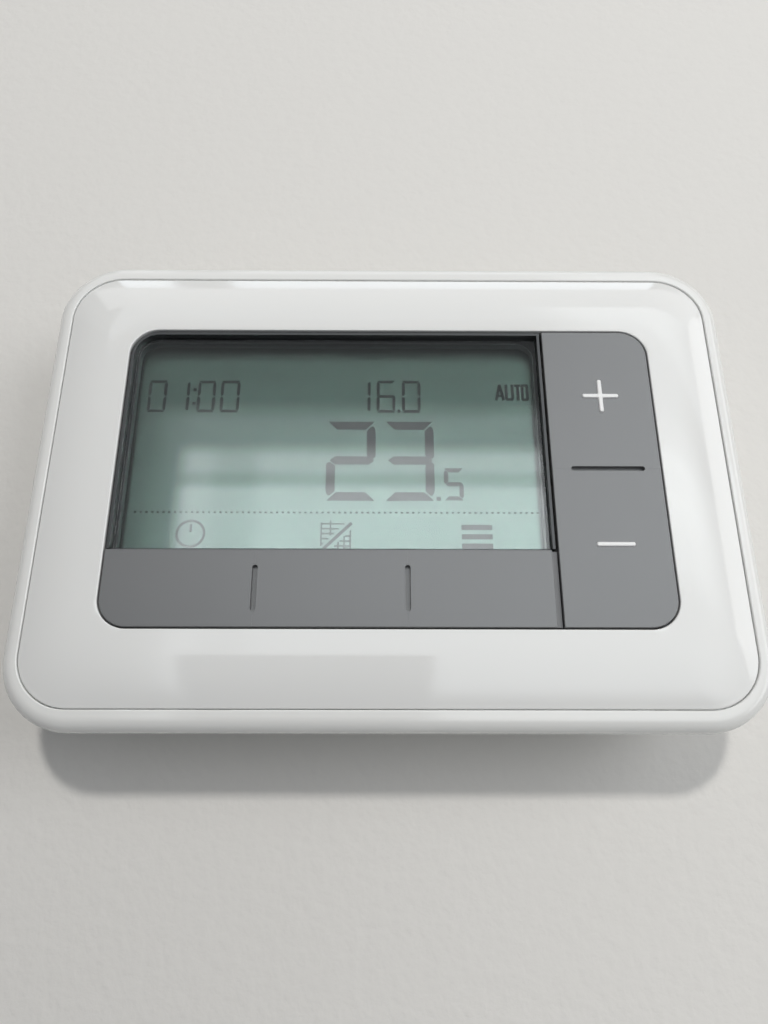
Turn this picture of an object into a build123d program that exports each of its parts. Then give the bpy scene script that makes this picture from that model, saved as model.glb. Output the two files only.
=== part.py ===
"""Wall thermostat: a control head that plugs onto a wall plate.

The frame is the thermostat hung on its wall: +X to the right as a person faces it, +Z up,
and the room on the -Y side. The origin is the centre of the wall plate's back face.
All sizes are in millimetres, and depths are counted from the wall towards the room.
"""

from build123d import *
import os

os.makedirs("parts", exist_ok=True)

# ---- driving dimensions ----
UNIT_WIDTH = 137.0
UNIT_HEIGHT = 96.0
UNIT_DEPTH = 27.0
RIM_RADIUS = 13.0

SEAM_WIDTH = 130.3
SEAM_HEIGHT = 88.3
SEAM_RADIUS = 9.5
SEAM_GAP = 0.15

OPENING_WIDTH = 103.95
OPENING_HEIGHT = 61.3
OPENING_RADIUS = 5.6
KEY_GAP = 0.3

WALL_SIDE_WIDTH = 120.0
WALL_SIDE_HEIGHT = 80.0
WALL_SIDE_RADIUS = 10.0
CASE_FRONT_WIDTH = 133.0
CASE_FRONT_HEIGHT = 92.0
CASE_FRONT_RADIUS = 12.4
CASE_WALL = 2.0

# ---- depths from the wall ----
PLATE_THICKNESS = 2.0
CASE_BACK = 1.0
CASE_FLOOR_BACK = 2.5
CASE_FLOOR_FRONT = 4.0
WELL_DEPTH = 13.6
CASE_FRONT = 19.5
BOARD_BACK = 18.0
BOARD_FRONT = 19.2
HOUSING_SHELF_BACK = 23.2
HOUSING_SHELF_FRONT = 24.2
COVER_EDGE = 25.0
RIM_FRONT = 25.2
KEY_FRONT = 26.95
GLYPH_FRONT = 27.25

# ---- display, keys and their gaps ----
BAR_TOP = -16.0
BAR_RIGHT = 29.75
STRIP_LEFT = 30.95
BEZEL_RIGHT = 30.55
BEZEL_BOTTOM = -15.75
GROOVE_LEFT_X = -24.2
GROOVE_RIGHT_X = 3.4
GROOVE_LENGTH = 8.5
GROOVE_WIDTH = 0.95
GROOVE_DEPTH = 1.0
GROOVE_Z = -23.2
STRIP_SPLIT_Z = 0.22
STRIP_GROOVE_X = 41.6
STRIP_GROOVE_LENGTH = 14.0
KEY_SPLIT = 0.06
KEY_EDGE_RADIUS = 0.18
KEY_WALL = 1.2
GLYPH_LENGTH = 7.1
GLYPH_STROKE = 0.85
PLUS_Z = 15.75
MINUS_Z = -14.9

# ---- wall plate, terminals and battery bay ----
SLOT_SPACING = 60.3
SLOT_Z = 22.0
SLOT_LENGTH = 7.0
SLOT_WIDTH = 4.2
CABLE_WIDTH = 26.0
CABLE_HEIGHT = 16.0
CABLE_Z = 18.0
TERMINAL_PITCH = 10.0
TERMINAL_COUNT = 3
SCREW_Z = -2.0
SOCKET_Z = -12.0
TERMINAL_FRONT = 13.0
CAGE_HALF_X = 3.3
CAGE_HALF_Z = 2.8
CAGE_BACK = 2.4
CAGE_FRONT = 8.3
BAR_BACK = 6.2
BAR_FRONT = 7.0
POCKET_FRONT = 10.5
SCREW_HEAD_BACK = 11.1
TAB_X = 44.0
TAB_ZS = (30.0, -36.6)
TAB_HALF_LENGTH = 3.0
TAB_HALF_THICKNESS = 0.8
TAB_FRONT = 8.0
BOSS_RADIUS = 5.2
BOSS_FRONT = 3.2
WELL_HALF = 24.0
WELL_TOP = 28.8
BAY_HALF = 52.6
BAY_BOTTOM = -33.2
BAY_TOP = -17.8
BAY_FLOOR = 17.0
CELL_DIAMETER = 14.2
CELL_BODY = 49.5
CELL_NUB = 1.0

CELL_DEPTH = 9.6
CONTACT_THICKNESS = 0.5

# ---- window, liquid crystal, switches and board screws ----
FLANGE_BACK = 23.2
FLANGE_FRONT = 24.0
LENS_BACK = 24.0
LENS_FRONT = 25.4
BEZEL_BACK = 22.25
BEZEL_FRONT = 26.6
VIEW_LEFT = -50.55
VIEW_RIGHT = 29.35
VIEW_BOTTOM = -15.2
VIEW_TOP = 29.0
VIEW_RADIUS = 3.4
LENS_BOTTOM = -15.4
GLASS_LEFT = -51.4
GLASS_RIGHT = 30.0
GLASS_TOP = 30.0
GLASS_BOTTOM = -19.4
REAR_GLASS_BOTTOM = -16.6
GUIDE_BACK = 19.3
REFLECTOR_BACK = 20.5
REAR_GLASS_BACK = 20.65
FRONT_GLASS_BACK = 21.35
POLARISER_BACK = 22.05
POLARISER_FRONT = 22.2
SIGN_X = 41.55
SIGN_BACK = 26.35
SWITCH_Z = -23.4
SWITCH_BODY_FRONT = 22.7
PLUNGER_BACK = 21.9
PLUNGER_FRONT = 23.9
HOLLOW_FRONT = 25.4
FRAME_BACK = 21.2
FRAME_RIB_FRONT = 26.1
BOARD_SCREW_X = 56.5
BOARD_SCREW_Z = 28.0

terminal_xs = [TERMINAL_PITCH * (i - (TERMINAL_COUNT - 1) / 2) for i in range(TERMINAL_COUNT)]
board_screw_places = [
    (x, z) for x in (-BOARD_SCREW_X, BOARD_SCREW_X) for z in (-BOARD_SCREW_Z, BOARD_SCREW_Z)
]
CELL_Z = (BAY_BOTTOM + BAY_TOP) / 2
cell_length = CELL_BODY + CELL_NUB
right_cell_start = BAY_HALF - CONTACT_THICKNESS - cell_length
left_cell_start = right_cell_start - cell_length


# ---- shared shapes ----
def slab(width, height, radius, back, front, x=0.0, z=0.0):
    """A plate with rounded corners, lying parallel to the wall between two depths."""
    outline = RectangleRounded(width, height, radius) if radius > 0 else Rectangle(width, height)
    return extrude(Plane.XZ.offset(back) * Pos(x, z) * outline, front - back)


def block(left, right, bottom, top, back, front):
    """A square-edged box given by its sides as seen from the room."""
    return slab(right - left, top - bottom, 0, back, front, (left + right) / 2, (bottom + top) / 2)


def peg(radius, back, front, x, z):
    """A round post standing out from the wall."""
    return extrude(Plane.XZ.offset(back) * Pos(x, z) * Circle(radius), front - back)


def raised(sketch, back, front):
    """A flat outline, drawn as seen from the room, given thickness between two depths."""
    return extrude(Plane.XZ.offset(back) * sketch, front - back)


def window(left, right, bottom, top):
    """A rectangle drawn as seen from the room."""
    return Pos((left + right) / 2, (bottom + top) / 2) * Rectangle(right - left, top - bottom)


def save(shape, node):
    """Write one sub-part under its own name."""
    shape.label = node
    export_step(shape, f"parts/{node}.step")


def clip_tab(x, z, clearance, back, front):
    """A clip tab standing out from the wall plate, or the slot that takes it."""
    half_length = TAB_HALF_LENGTH + clearance
    half_thickness = TAB_HALF_THICKNESS + clearance
    return block(x - half_length, x + half_length, z - half_thickness, z + half_thickness, back, front)


# ---- wall plate ----
def make_wall_plate():
    """The plate that is screwed to the wall: slots, cable entry, bosses and four clip tabs."""
    plate = slab(WALL_SIDE_WIDTH - 4.6, WALL_SIDE_HEIGHT - 4.6, 7.8, 0, PLATE_THICKNESS)
    for side in (-1, 1):
        x = side * SLOT_SPACING / 2
        plate += peg(BOSS_RADIUS, 0, BOSS_FRONT, x, SLOT_Z)
    for side in (-1, 1):
        x = side * SLOT_SPACING / 2
        slot = Pos(x, SLOT_Z) * SlotOverall(SLOT_LENGTH, SLOT_WIDTH)
        plate -= raised(slot, -1, PLATE_THICKNESS + 3)
        for z in TAB_ZS:
            plate += clip_tab(side * TAB_X, z, 0, PLATE_THICKNESS, TAB_FRONT)
    plate -= slab(CABLE_WIDTH, CABLE_HEIGHT, 3, -1, PLATE_THICKNESS + 1, 0, CABLE_Z)
    frame = slab(CABLE_WIDTH + 3, CABLE_HEIGHT + 3, 4, PLATE_THICKNESS, PLATE_THICKNESS + 1, 0, CABLE_Z)
    plate += frame - slab(CABLE_WIDTH, CABLE_HEIGHT, 3, 0, 5, 0, CABLE_Z)
    return plate


def contact_shape(x):
    """One current bar with the socket that its plug pin enters, as a single brass piece."""
    bar = block(x - 2.0, x + 2.0, -13.6, 0.6, BAR_BACK, BAR_FRONT) - peg(1.7, 5, 8, x, SCREW_Z)
    socket = block(x - 1.6, x + 1.6, SOCKET_Z - 1.6, SOCKET_Z + 1.6, 4.0, 12.4)
    hole = block(x - 0.6, x + 0.6, SOCKET_Z - 0.6, SOCKET_Z + 0.6, 4.8, 14)
    return bar + socket - hole


def make_terminal_block():
    """The moulded block: a pocket, wire entry, screw well and socket tower for each wire."""
    half = TERMINAL_PITCH * TERMINAL_COUNT / 2 + 2
    body = block(-half, half, -15.4, 4.0, PLATE_THICKNESS, TERMINAL_FRONT)
    for x in terminal_xs:
        body -= block(x - 3.5, x + 3.5, SCREW_Z - 3, SCREW_Z + 3, PLATE_THICKNESS + 0.2, POCKET_FRONT)
        body -= peg(1.65, POCKET_FRONT - 1, 12, x, SCREW_Z)
        body -= peg(2.9, SCREW_HEAD_BACK - 0.1, TERMINAL_FRONT + 1, x, SCREW_Z)
        body -= block(x - 2.1, x + 2.1, 0, 5, 3.3, BAR_BACK)
        body -= contact_shape(x)
        body -= block(x - 0.9, x + 0.9, SOCKET_Z - 0.9, SOCKET_Z + 0.9, 4.8, TERMINAL_FRONT + 1)
    for x in terminal_xs[:-1]:
        middle = x + TERMINAL_PITCH / 2
        body -= block(middle - 0.5, middle + 0.5, -1, 5, 9, TERMINAL_FRONT + 1)
    return body


def terminal_screw(x):
    """A slotted captive screw, turned from the front."""
    screw = peg(2.6, SCREW_HEAD_BACK, TERMINAL_FRONT - 0.1, x, SCREW_Z)
    screw += peg(1.5, BAR_BACK + 0.1, SCREW_HEAD_BACK, x, SCREW_Z)
    low, high = SCREW_Z - 0.35, SCREW_Z + 0.35
    return screw - block(x - 3, x + 3, low, high, TERMINAL_FRONT - 1.0, TERMINAL_FRONT + 1)


def terminal_cage(x):
    """The steel ring that the screw draws forward to squeeze the wire against the bar."""
    low, high = SCREW_Z - CAGE_HALF_Z, SCREW_Z + CAGE_HALF_Z
    cage = block(x - CAGE_HALF_X, x + CAGE_HALF_X, low, high, CAGE_BACK, CAGE_FRONT)
    reach = CAGE_HALF_X - 0.9
    cage -= block(x - reach, x + reach, low - 1, high + 1, CAGE_BACK + 0.9, CAGE_FRONT - 1.2)
    return cage - peg(1.55, CAGE_FRONT - 2, CAGE_FRONT + 1, x, SCREW_Z)


# ---- rear case ----
def case_outline(depth, wall=0.0):
    """The tapering outline of the rear case at one depth, drawn inwards by a wall."""
    share = (depth - CASE_BACK) / (CASE_FRONT - CASE_BACK)
    width = WALL_SIDE_WIDTH + share * (CASE_FRONT_WIDTH - WALL_SIDE_WIDTH) - 2 * wall
    height = WALL_SIDE_HEIGHT + share * (CASE_FRONT_HEIGHT - WALL_SIDE_HEIGHT) - 2 * wall
    radius = WALL_SIDE_RADIUS + share * (CASE_FRONT_RADIUS - WALL_SIDE_RADIUS) - wall
    return Plane.XZ.offset(depth) * RectangleRounded(width, height, radius)


def make_rear_case():
    """The tapered back moulding: battery bay, wiring well, screw pockets, bosses and vents."""
    case = loft([case_outline(CASE_BACK), case_outline(CASE_FRONT)])
    inside = loft([case_outline(CASE_FLOOR_FRONT, CASE_WALL), case_outline(CASE_FRONT + 0.5, CASE_WALL)])
    bay_walls = block(-BAY_HALF - 1.4, BAY_HALF + 1.4, BAY_BOTTOM - 1.4, BAY_TOP + 1.4, 0, BAY_FLOOR + 0.8)
    well_walls = block(-WELL_HALF - 1.5, WELL_HALF + 1.5, BAY_TOP, WELL_TOP + 1.5, 0, WELL_DEPTH + 1.4)
    kept = bay_walls + well_walls
    for side in (-1, 1):
        kept += peg(7.0, 0, 8.5, side * SLOT_SPACING / 2, SLOT_Z)
    for x, z in board_screw_places:
        kept += peg(2.6, 0, BOARD_BACK, x, z)
    case -= inside - kept
    case -= slab(WALL_SIDE_WIDTH - 3.8, WALL_SIDE_HEIGHT - 3.8, 8.2, 0, CASE_FLOOR_BACK)
    case -= block(-BAY_HALF, BAY_HALF, BAY_BOTTOM, BAY_TOP, 0, BAY_FLOOR)
    case -= block(-WELL_HALF, WELL_HALF, BAY_TOP + 1.4, WELL_TOP, 0, WELL_DEPTH)
    for side in (-1, 1):
        case -= peg(5.6, 0, 7.0, side * SLOT_SPACING / 2, SLOT_Z)
        for z in TAB_ZS:
            case -= clip_tab(side * TAB_X, z, 0.3, 0, TAB_FRONT + 1)
    for x, z in board_screw_places:
        case -= peg(1.1, 10, BOARD_BACK + 1, x, z)
    for x in terminal_xs:
        case -= block(x - 0.8, x + 0.8, SOCKET_Z - 0.8, SOCKET_Z + 0.8, WELL_DEPTH - 1, WELL_DEPTH + 3)
    for i in range(9):
        x = 7.0 * (i - 4)
        case -= block(x - 0.8, x + 0.8, 36, 60, 8, 14)
        case -= block(x - 0.8, x + 0.8, -60, -36, 8, 14)
    return case


# ---- front housing and cover ----
def make_front_housing():
    """The white rim: a rounded outer wall, a shelf for the cover and a window for the keys."""
    housing = slab(UNIT_WIDTH, UNIT_HEIGHT, RIM_RADIUS, CASE_FRONT, RIM_FRONT)
    rim_edges = housing.faces().sort_by(Axis.Y)[0].edges()
    housing = fillet(rim_edges, 2.6)
    back_edges = housing.faces().sort_by(Axis.Y)[-1].edges()
    housing = fillet(back_edges, 1.9)
    housing -= slab(132.0, 91.0, 10.5, CASE_FRONT - 1, HOUSING_SHELF_BACK)
    seat_width, seat_height = SEAM_WIDTH + 2 * SEAM_GAP, SEAM_HEIGHT + 2 * SEAM_GAP
    housing -= slab(seat_width, seat_height, SEAM_RADIUS + SEAM_GAP, HOUSING_SHELF_FRONT, RIM_FRONT + 1)
    return housing - slab(106.4, 63.8, 6.8, CASE_FRONT, RIM_FRONT)


def make_front_cover():
    """The glossy cover: flat round the opening, then rolling down to its edge at the seam."""
    cover = slab(SEAM_WIDTH, SEAM_HEIGHT, SEAM_RADIUS, HOUSING_SHELF_FRONT, COVER_EDGE)
    steps = [(COVER_EDGE, 0.0), (26.1, 2.4), (26.75, 5.6), (UNIT_DEPTH, 9.0)]
    outlines = []
    for depth, inset in steps:
        radius = max(SEAM_RADIUS - 0.35 * inset, 4)
        ring = RectangleRounded(SEAM_WIDTH - 2 * inset, SEAM_HEIGHT - 2 * inset, radius)
        outlines.append(Plane.XZ.offset(depth) * ring)
    cover += loft(outlines, ruled=True)
    back, front = HOUSING_SHELF_FRONT - 1, UNIT_DEPTH + 1
    return cover - slab(OPENING_WIDTH, OPENING_HEIGHT, OPENING_RADIUS, back, front)


# ---- outlines inside the opening ----
field_width, field_height = OPENING_WIDTH - 2 * KEY_GAP, OPENING_HEIGHT - 2 * KEY_GAP
key_field = RectangleRounded(field_width, field_height, OPENING_RADIUS - KEY_GAP)
flange_field = RectangleRounded(OPENING_WIDTH + 1.0, OPENING_HEIGHT + 1.0, OPENING_RADIUS + 0.5)


# ---- display ----
def make_display_bezel():
    """The black frame round the display: it steps down from the keys to the liquid crystal."""
    zone = window(-60, BEZEL_RIGHT, BEZEL_BOTTOM, 40)
    bezel = raised(key_field & zone, BEZEL_BACK, BEZEL_FRONT)
    bezel += raised(flange_field & zone, FLANGE_BACK, FLANGE_FRONT)
    bezel -= raised(lens_outline(), LENS_BACK, BEZEL_FRONT + 1)
    middle_x, middle_z = (VIEW_LEFT + VIEW_RIGHT) / 2, (VIEW_BOTTOM + VIEW_TOP) / 2
    view_width, view_height = VIEW_RIGHT - VIEW_LEFT, VIEW_TOP - VIEW_BOTTOM
    bezel -= slab(view_width, view_height, VIEW_RADIUS, 20, BEZEL_FRONT + 1, middle_x, middle_z)
    bezel -= block(VIEW_LEFT, VIEW_RIGHT, VIEW_BOTTOM, middle_z, 20, BEZEL_FRONT + 1)
    left, right = -OPENING_WIDTH / 2 + 0.9, BEZEL_RIGHT - 0.6
    return bezel - block(left, right, BEZEL_BOTTOM - 1, LENS_BOTTOM + 0.1, LENS_FRONT, BEZEL_FRONT + 1)


def lens_outline():
    """The clear window's outline, a ledge's width inside the bezel."""
    inner = RectangleRounded(OPENING_WIDTH - 1.8, OPENING_HEIGHT - 1.8, OPENING_RADIUS - 0.9)
    return inner & window(-60, BEZEL_RIGHT - 0.6, LENS_BOTTOM, 40)


def make_lcd_holder():
    """The white frame that holds the liquid crystal and light guide square on the board."""
    left, right = GLASS_LEFT - 1.6, GLASS_RIGHT + 1.3
    holder = block(left, right, GLASS_BOTTOM - 0.7, GLASS_TOP + 1.3, BOARD_FRONT, POLARISER_BACK)
    return holder - block(GLASS_LEFT, GLASS_RIGHT, GLASS_BOTTOM, GLASS_TOP, BOARD_FRONT - 1, 23)


# ---- keys ----
def make_key(left, right, bottom, top):
    """A hollow key cap with a flange under the cover and a stem over its switch."""
    zone = window(left, right, bottom, top)
    outline = key_field & zone
    key = raised(outline, FLANGE_BACK, KEY_FRONT)
    key = fillet([e for e in key.faces().sort_by(Axis.Y)[0].edges() if not is_split(e)], KEY_EDGE_RADIUS)
    key += raised(flange_field & zone, FLANGE_BACK, FLANGE_FRONT)
    hollow = key_hollow(left, right, bottom, top)
    return key - raised(hollow, FLANGE_BACK - 1, HOLLOW_FRONT)


def is_split(edge):
    """Whether a key's edge lies where the bar or the strip is split into keys."""
    middle = edge.center()
    from_groove = min(abs(middle.X - GROOVE_LEFT_X), abs(middle.X - GROOVE_RIGHT_X))
    on_bar = middle.Z < BAR_TOP and from_groove < KEY_SPLIT
    return on_bar or (middle.X > STRIP_LEFT and abs(middle.Z - STRIP_SPLIT_Z) < KEY_SPLIT)


def key_hollow(left, right, bottom, top):
    """The space under a key cap, a wall's width inside its outline."""
    wall = KEY_WALL
    field_x = OPENING_WIDTH / 2 - KEY_GAP
    field_z = OPENING_HEIGHT / 2 - KEY_GAP
    low_x, high_x = max(left, -field_x) + wall, min(right, field_x) - wall
    low_z, high_z = max(bottom, -field_z) + wall, min(top, field_z) - wall
    inner = RectangleRounded(2 * (field_x - wall), 2 * (field_z - wall), OPENING_RADIUS - KEY_GAP - wall)
    return inner & window(low_x, high_x, low_z, high_z)


def groove(length, x, z, angle):
    """A shallow round-ended groove in the key surface."""
    slot = Pos(x, z) * Rot(0, 0, angle) * SlotOverall(length, GROOVE_WIDTH)
    return raised(slot, KEY_FRONT - GROOVE_DEPTH, KEY_FRONT + 1)


bar_grooves = [groove(GROOVE_LENGTH, x, GROOVE_Z, 90) for x in (GROOVE_LEFT_X, GROOVE_RIGHT_X)]
strip_groove = groove(STRIP_GROOVE_LENGTH, STRIP_GROOVE_X, STRIP_SPLIT_Z, 0)

half_split = KEY_SPLIT / 2
key_zones = {
    "left": (-60, GROOVE_LEFT_X - half_split, -40, BAR_TOP),
    "middle": (GROOVE_LEFT_X + half_split, GROOVE_RIGHT_X - half_split, -40, BAR_TOP),
    "right": (GROOVE_RIGHT_X + half_split, BAR_RIGHT, -40, BAR_TOP),
    "plus": (STRIP_LEFT, 60, STRIP_SPLIT_Z + half_split, 40),
    "minus": (STRIP_LEFT, 60, -40, STRIP_SPLIT_Z - half_split),
}
switch_places = {
    "left": (-37.9, SWITCH_Z),
    "middle": (-10.4, SWITCH_Z),
    "right": (16.6, SWITCH_Z),
    "plus": (SIGN_X, PLUS_Z),
    "minus": (SIGN_X, MINUS_Z),
}


def make_glyph(vertical):
    """A raised white bar, with a second one across it for the plus sign."""
    z = PLUS_Z if vertical else MINUS_Z
    bar = RectangleRounded(GLYPH_LENGTH, GLYPH_STROKE, 0.35)
    sign = Pos(SIGN_X, z) * bar
    if vertical:
        sign += Pos(SIGN_X, z) * Rot(0, 0, 90) * bar
    return raised(sign, SIGN_BACK, GLYPH_FRONT)


def make_key_frame():
    """The grey carrier that guides the keys, with the low rib seen between bar and strip."""
    frame = slab(109.0, 66.4, 7.0, FRAME_BACK, HOUSING_SHELF_BACK)
    frame -= slab(105.8, 63.2, 6.0, 22.4, HOUSING_SHELF_BACK + 1)
    frame -= block(-53.4, 31.6, -20.9, 31.6, 20, 24)
    for x, z in switch_places.values():
        frame -= slab(9.0, 7.6, 1.0, 20, 24, x, z - 0.4)
    middle = (BAR_RIGHT + STRIP_LEFT) / 2
    frame += block(middle - 0.45, middle + 0.45, -30.2, -20.9, FRAME_BACK, FRAME_RIB_FRONT)
    return frame + block(middle - 0.45, middle + 0.45, -21.0, BAR_TOP - 0.1, 22.6, FRAME_RIB_FRONT)


def make_tact_switches():
    """Five low square switches on the board, each with a round well for its plunger."""
    switches = []
    for x, z in switch_places.values():
        body = slab(6.0, 6.0, 0.5, BOARD_FRONT, SWITCH_BODY_FRONT, x, z)
        switches.append(body - peg(1.6, 21.2, 24, x, z))
    return Compound(children=switches)


# ---- board and its components ----
def make_main_board():
    """The circuit board, with holes for its screws and plug pins."""
    board = slab(116.0, 65.0, 2.0, BOARD_BACK, BOARD_FRONT)
    for x, z in board_screw_places:
        board -= peg(1.3, BOARD_BACK - 1, BOARD_FRONT + 1, x, z)
    for x in terminal_xs:
        board -= block(x - 0.5, x + 0.5, SOCKET_Z - 0.5, SOCKET_Z + 0.5, BOARD_BACK - 1, BOARD_FRONT + 1)
    return board


def make_board_screws():
    """Four cross-head screws that hold the board to the rear case."""
    screws = []
    for x, z in board_screw_places:
        screw = peg(2.2, BOARD_FRONT, BOARD_FRONT + 1.5, x, z)
        screw += peg(1.1, 11.0, BOARD_FRONT, x, z)
        screw -= slab(2.2, 0.5, 0, BOARD_FRONT + 0.8, 22, x, z)
        screw -= slab(0.5, 2.2, 0, BOARD_FRONT + 0.8, 22, x, z)
        screws.append(screw)
    return Compound(children=screws)


def make_microcontroller():
    """A flat square chip with legs on all four sides, on the back of the board."""
    x, z = -40.0, -4.0
    chip = slab(10.0, 10.0, 0.3, BOARD_BACK - 1.4, BOARD_BACK - 0.2, x, z)
    for i in range(8):
        shift = 1.1 * (i - 3.5)
        chip += block(x + shift - 0.2, x + shift + 0.2, z - 6, z + 6, BOARD_BACK - 0.6, BOARD_BACK)
        chip += block(x - 6, x + 6, z + shift - 0.2, z + shift + 0.2, BOARD_BACK - 0.6, BOARD_BACK)
    return chip


def make_relay():
    """The sealed box relay that switches the boiler."""
    return slab(20.0, 10.4, 0.6, BOARD_BACK - 10, BOARD_BACK, 42.0, -4.0)


def make_capacitor():
    """A round can capacitor on its square foot."""
    can = peg(3.1, BOARD_BACK - 7.6, BOARD_BACK, -38.0, 10.0)
    return can + slab(6.6, 6.6, 0.6, BOARD_BACK - 0.8, BOARD_BACK, -38.0, 10.0)


def make_crystal():
    """The clock crystal's oval can."""
    can = Pos(-50.0, 10.0) * SlotOverall(10.2, 4.4)
    return raised(can, BOARD_BACK - 3.4, BOARD_BACK)


def make_thermistor():
    """The air sensor: a bead on two leads below the board's edge, in the path of the vents."""
    bead = Pos(50.0, -18.6, -36.0) * Sphere(1.3)
    for x in (49.4, 50.6):
        bead += block(x - 0.2, x + 0.2, -36.0, -32.5, 18.4, 18.8)
    return bead


def make_contact_pins():
    """Square pins that carry the wires' circuits from the wall plate to the board."""
    pins = []
    for x in terminal_xs:
        pins.append(block(x - 0.5, x + 0.5, SOCKET_Z - 0.5, SOCKET_Z + 0.5, 5.2, BOARD_FRONT))
    return Compound(children=pins)


# ---- batteries ----
def make_cell(start):
    """A round battery cell lying along X, with its nub to the right."""
    body = Plane.YZ.offset(start) * Pos(-CELL_DEPTH, CELL_Z) * Circle(CELL_DIAMETER / 2)
    nub = Plane.YZ.offset(start + CELL_BODY) * Pos(-CELL_DEPTH, CELL_Z) * Circle(2.7)
    cell = extrude(body, CELL_BODY)
    cell = fillet(cell.edges().filter_by(GeomType.CIRCLE), 0.5)
    return cell + extrude(nub, CELL_NUB)


def make_battery_plate():
    """The flat contact at the positive end of the bay."""
    right = BAY_HALF
    return block(right - CONTACT_THICKNESS, right, CELL_Z - 6, CELL_Z + 6, 3.5, 15.5)


def make_battery_spring():
    """The negative contact: a plate with a coil that presses on the left cell."""
    left = -BAY_HALF
    plate = block(left, left + CONTACT_THICKNESS, CELL_Z - 6, CELL_Z + 6, 3.5, 15.5)
    wire = 0.4
    height = left_cell_start - left - CONTACT_THICKNESS - 2 * wire
    path = Helix(pitch=height / 2.5, height=height, radius=4.0)
    profile = Plane(origin=path @ 0, z_dir=path % 0) * Circle(wire)
    coil = sweep(profile, path=path, is_frenet=True)
    place = Plane(origin=(left + CONTACT_THICKNESS + wire / 2, -CELL_DEPTH, CELL_Z), z_dir=(1, 0, 0))
    return plate + place * coil


# ---- write every sub-part ----
save(make_wall_plate(), "wall_plate")
save(make_terminal_block(), "terminal_block")
save(Compound(children=[contact_shape(x) for x in terminal_xs]), "terminal_contacts")
for number, x in enumerate(terminal_xs, 1):
    save(terminal_screw(x), f"terminal_screw_{number}")
    save(terminal_cage(x), f"terminal_cage_{number}")

save(make_rear_case(), "rear_case")
save(make_front_housing(), "front_housing")
save(make_front_cover(), "front_cover")
save(make_display_bezel(), "display_bezel")
save(raised(lens_outline(), LENS_BACK, LENS_FRONT), "display_lens")

display_layers = {
    "lcd_polariser": (BEZEL_BOTTOM, POLARISER_BACK, POLARISER_FRONT),
    "lcd_front_glass": (GLASS_BOTTOM, FRONT_GLASS_BACK, POLARISER_BACK),
    "lcd_rear_glass": (REAR_GLASS_BOTTOM, REAR_GLASS_BACK, FRONT_GLASS_BACK),
    "lcd_reflector": (BEZEL_BOTTOM, REFLECTOR_BACK, REAR_GLASS_BACK),
}
for name, (bottom, back, front) in display_layers.items():
    save(block(GLASS_LEFT, GLASS_RIGHT, bottom, GLASS_TOP, back, front), name)
save(block(-50.0, 28.8, -15.5, 28.6, GUIDE_BACK, REFLECTOR_BACK), "light_guide")
leds = [block(-51.3, -50.1, z - 1.6, z + 1.6, BOARD_FRONT, 20.3) for z in (-4, 16)]
save(Compound(children=leds), "backlight_leds")
save(make_lcd_holder(), "lcd_holder")
save(block(-47.0, 26.0, -19.2, -17.2, BOARD_FRONT, FRONT_GLASS_BACK), "elastomer_connector")

for name, zone in key_zones.items():
    x, z = switch_places[name]
    key = make_key(*zone) + peg(2.0, PLUNGER_FRONT, HOLLOW_FRONT + 0.1, x, z)
    for cut in bar_grooves + [strip_groove]:
        key -= cut
    if name in ("plus", "minus"):
        sign = make_glyph(name == "plus")
        key -= sign
        save(sign, f"{name}_sign")
    save(key, f"key_{name}")
    save(peg(1.5, PLUNGER_BACK, PLUNGER_FRONT, x, z), f"switch_plunger_{name}")

save(make_key_frame(), "key_frame")
save(make_tact_switches(), "tact_switches")
save(make_main_board(), "main_board")
save(make_board_screws(), "board_screws")
save(make_microcontroller(), "microcontroller")
save(make_relay(), "relay")
save(make_capacitor(), "capacitor")
save(make_crystal(), "crystal")
save(make_thermistor(), "thermistor")
save(make_contact_pins(), "contact_pins")

save(make_cell(left_cell_start), "battery_cell_left")
save(make_cell(right_cell_start), "battery_cell_right")
save(make_battery_plate(), "battery_plate")
save(make_battery_spring(), "battery_spring")
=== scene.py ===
"""A wall thermostat: the looks of its plug-on head and of the wall plate behind it."""
import math

import bmesh
import bpy
from mathutils import Matrix, Vector


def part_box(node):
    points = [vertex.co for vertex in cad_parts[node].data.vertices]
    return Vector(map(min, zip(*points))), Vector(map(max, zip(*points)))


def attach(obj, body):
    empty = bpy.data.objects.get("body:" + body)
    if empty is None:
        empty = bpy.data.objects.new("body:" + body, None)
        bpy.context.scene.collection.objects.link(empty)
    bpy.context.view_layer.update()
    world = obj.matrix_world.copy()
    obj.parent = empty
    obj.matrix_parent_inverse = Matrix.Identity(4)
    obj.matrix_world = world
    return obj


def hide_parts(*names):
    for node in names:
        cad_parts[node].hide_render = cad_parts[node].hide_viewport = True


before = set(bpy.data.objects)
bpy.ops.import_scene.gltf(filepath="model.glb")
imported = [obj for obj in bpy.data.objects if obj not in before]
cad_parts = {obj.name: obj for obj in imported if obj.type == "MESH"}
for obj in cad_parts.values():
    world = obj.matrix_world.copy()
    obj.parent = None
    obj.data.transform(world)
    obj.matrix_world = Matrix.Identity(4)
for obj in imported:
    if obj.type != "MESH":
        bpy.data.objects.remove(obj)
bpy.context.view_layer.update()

# ---- Camera ----
# A small camera held close in front of the thermostat and below its middle, tilted up at it.
# Its place is counted from the wall plate's back face, in millimetres.
MM = 0.001
LENS_AT = Vector((-1.54, -162.36, -59.43)) * MM
LENS_TILT = math.radians(90 + 20.53)
LENS_ROLL = math.radians(-0.06)
LENS_PAN = math.radians(-0.29)
FOCAL_LENGTH = 27.42
SENSOR_WIDTH = 36
NEAREST_SIGHT = 10 * MM

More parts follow.
